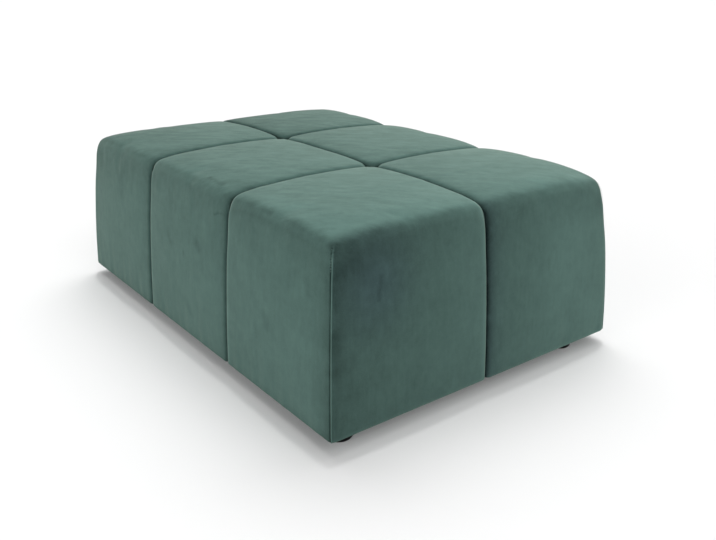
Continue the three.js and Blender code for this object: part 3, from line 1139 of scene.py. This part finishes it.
STITCHES = {"pitch": 0.0042, "length": 0.0030, "radius": 0.00035, "flatness": 1.0}
STITCH_SINK = 0.0002  # how far their line is set in from the side of the groove
STITCH_LINE_STEP = 0.004  # between the points of their line, and from its ends to the seam's
STAPLES = {"pitch": 0.045, "length": 0.0095, "radius": 0.0006, "flatness": 0.5}
STAPLE_INSET = 0.007  # from the cloth's edge
STAPLE_DROP = 0.00025  # from the underside of the cloth to the middle of a staple
STAPLE_CORNER = 0.03  # by how much the rows on the short sides stop before the corners


def corner_seam_line(x_sign, y_sign):
    """The line of an upright corner seam's stitches, in the groove beside its ridge."""
    end_x = len(COLUMNS) * CUSHION_LENGTH / 2
    end_y = len(ROWS) * CUSHION_DEPTH / 2
    line = []
    step = STITCH_LINE_STEP
    for z in np.arange(CUSHION_BOTTOM + step, SEAM_END - step, step):
        inset = float(inset_at(z)) + PLAN_ROUND[2] * (1 - math.sqrt(0.5))
        along = SEAM_GROOVE[0] / math.sqrt(2)
        x, y = end_x - inset - along, end_y - inset + along - STITCH_SINK
        line.append((x_sign * x, y_sign * y, float(z)))
    return line


def make_corner_stitches(thread, tree):
    lines = [corner_seam_line(x_sign, y_sign) for x_sign in (-1, 1) for y_sign in (-1, 1)]
    piece = repeated("corner_stitches", lines, tree, finish=thread, **STITCHES)
    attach(piece, "root")


def make_staples(steel, tree):
    """Staples along the turned-under edge of the underside cloth."""
    x, y, z = COVER_HIGH.x - STAPLE_INSET, COVER_HIGH.y - STAPLE_INSET, COVER_LOW.z - STAPLE_DROP
    end = y - STAPLE_CORNER
    lines = [[(-x, sign * y, z), (x, sign * y, z)] for sign in (-1, 1)]
    lines += [[(sign * x, -end, z), (sign * x, end, z)] for sign in (-1, 1)]
    piece = repeated("cover_staples", lines, tree, finish=steel, **STAPLES)
    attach(piece, "root")


FLOOR_HALF = 60  # half of its width
FLOOR_PAINT = {
    "Base Color": (0.71, 0.71, 0.71, 1),
    "Roughness": 1.0,
    "Emission Color": (1, 1, 1, 1),
    "Emission Strength": 0.085,
}


def make_floor():
    """A plain pale floor, lit a little from within so that the shadow under the edges stays grey."""
    size = FLOOR_HALF
    mesh = bpy.data.meshes.new("floor")
    corners = [(-size, -size, 0), (size, -size, 0), (size, size, 0), (-size, size, 0)]
    mesh.from_pydata(corners, [], [(0, 1, 2, 3)])
    floor = add_object("floor", mesh, new_material("floor_paint", FLOOR_PAINT)[0])


def light_lobe(make, direction, azimuth, elevation, power, strength):
    """A soft patch of light in the studio, brightest in one direction."""
    turn, lift = math.radians(azimuth), math.radians(elevation)
    axis = (math.cos(turn) * math.cos(lift), math.sin(turn) * math.cos(lift), math.sin(lift))
    facing = make.math("MAXIMUM", make.dot(direction, axis), 0.0)
    return make.math("MULTIPLY", make.math("POWER", facing, power), strength)


# The studio's lights, as azimuth from +X, elevation, power and strength
STUDIO_LOBES = (
    (135, 64, 10, 6.3),  # the large box behind and above
    (0, 38, 10, 3.13),  # the box at the right
    (-90, 10, 10, 4.45),  # the low fill in front, which reaches under the cushions
    (180, 38, 10, 0.30),  # the weak fill at the left
)
OVERHEAD_RAY = (0.105, -0.105, -1.0)  # the overhead lamp shines a little forwards and to the right
OVERHEAD_STRENGTH = 0.55
OVERHEAD_SPREAD = 2.5  # degrees


def make_studio():
    world = bpy.data.worlds.new("studio")
    bpy.context.scene.world = world
    world.use_nodes = True
    tree = world.node_tree
    tree.nodes.clear()
    make = Nodes(tree)
    direction = make.add("ShaderNodeTexCoord").outputs["Generated"]
    light = 0.0
    for lobe in STUDIO_LOBES:
        light = make.math("ADD", light_lobe(make, direction, *lobe), light)
    seen = make.add("ShaderNodeLightPath").outputs["Is Camera Ray"]
    strength = make.add("ShaderNodeMix", {0: seen, 2: light, 3: 1.0}, data_type="FLOAT").outputs[0]
    background = make.add("ShaderNodeBackground", {"Strength": strength})
    output = make.add("ShaderNodeOutputWorld")
    tree.links.new(background.outputs[0], output.inputs["Surface"])
    sun = bpy.data.lights.new("overhead_lamp", "SUN")
    sun.energy = OVERHEAD_STRENGTH
    sun.angle = math.radians(OVERHEAD_SPREAD)
    lamp = bpy.data.objects.new("overhead_lamp", sun)
    lamp.rotation_euler = Vector(OVERHEAD_RAY).to_track_quat("-Z", "Y").to_euler()
    bpy.context.scene.collection.objects.link(lamp)


def make_camera():
    data = bpy.data.cameras.new("camera")
    data.lens = CAMERA_LENS
    data.shift_y = CAMERA_SHIFT
    data.clip_end = 200
    camera = bpy.data.objects.new("camera", data)
    camera.location = CAMERA_PLACE
    camera.rotation_euler = (math.radians(90 - CAMERA_DOWN), 0, math.radians(CAMERA_TURN))
    bpy.context.scene.collection.objects.link(camera)
    bpy.context.scene.camera = camera


make_camera()
make_studio()
make_floor()
finish = unevenness_group()
make_cushions(velvet_material(finish))
make_underside_cloth(cover_cloth_material(finish))
make_feet(foot_plastic_material(finish))
rods = repeat_tree("rods_along_lines")
make_corner_stitches(thread_material(finish), rods)
make_staples(staple_material(finish), rods)
bpy.context.scene.view_settings.view_transform = "Standard"
